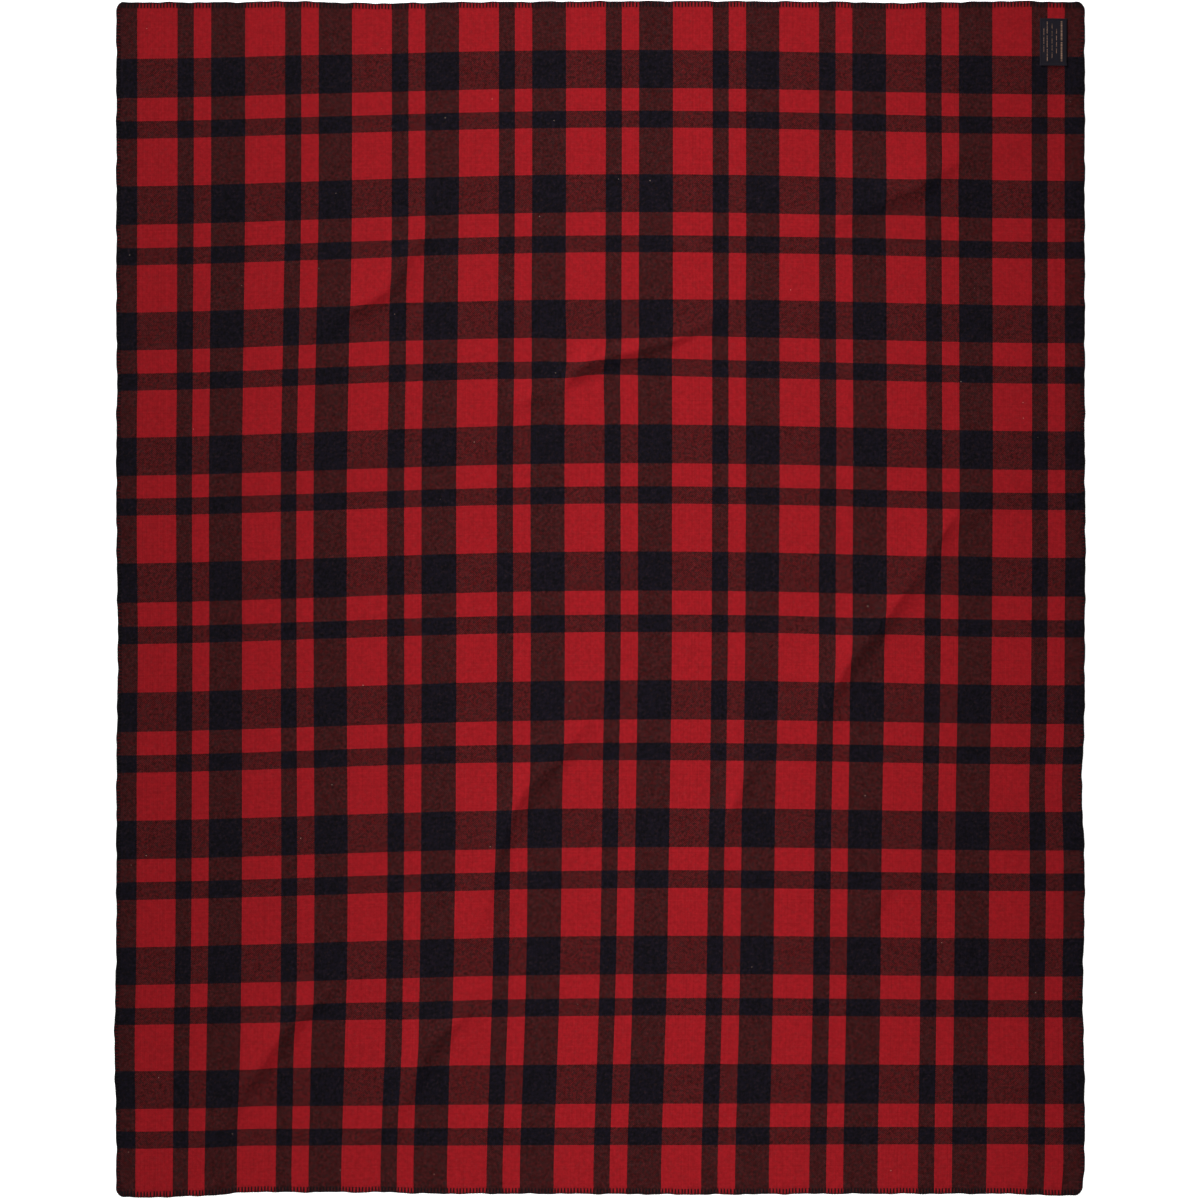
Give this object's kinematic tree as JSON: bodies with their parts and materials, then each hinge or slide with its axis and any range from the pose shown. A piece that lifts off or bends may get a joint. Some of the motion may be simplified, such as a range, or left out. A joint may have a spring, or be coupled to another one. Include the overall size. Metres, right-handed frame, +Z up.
{
  "type": "camp blanket",
  "caption": "Thick plaid wool camp blanket laid flat, overedged all round with dark yarn, with a small woven label sewn to one corner.",
  "frame": {"origin": "middle of the underside, on the surface that the blanket lies on", "axes": "+Z up from the underside to the face, +Y along the length towards the end with the label, +X across the width towards the side with the label"},
  "size_m": [1.486, 1.829, 0.0045],
  "materials": {
    "wool": "matt fulled wool twill, red plaid with black bands, lightly napped",
    "edge_yarn": "soft spun yarn, black",
    "edge_thread": "matt sewing thread, black",
    "label_tape": "woven satin tape, dark navy with tan figure threads",
    "label_thread": "sewing thread, dark"
  },
  "bodies": {
    "root": {"wool_cloth": "wool", "edge_upper_looper_yarn": "edge_yarn", "edge_lower_looper_yarn": "edge_yarn", "edge_needle_thread": "edge_thread", "woven_label": "label_tape", "label_needle_thread": "label_thread", "label_bobbin_thread": "label_thread"}
  },
  "joints": []
}
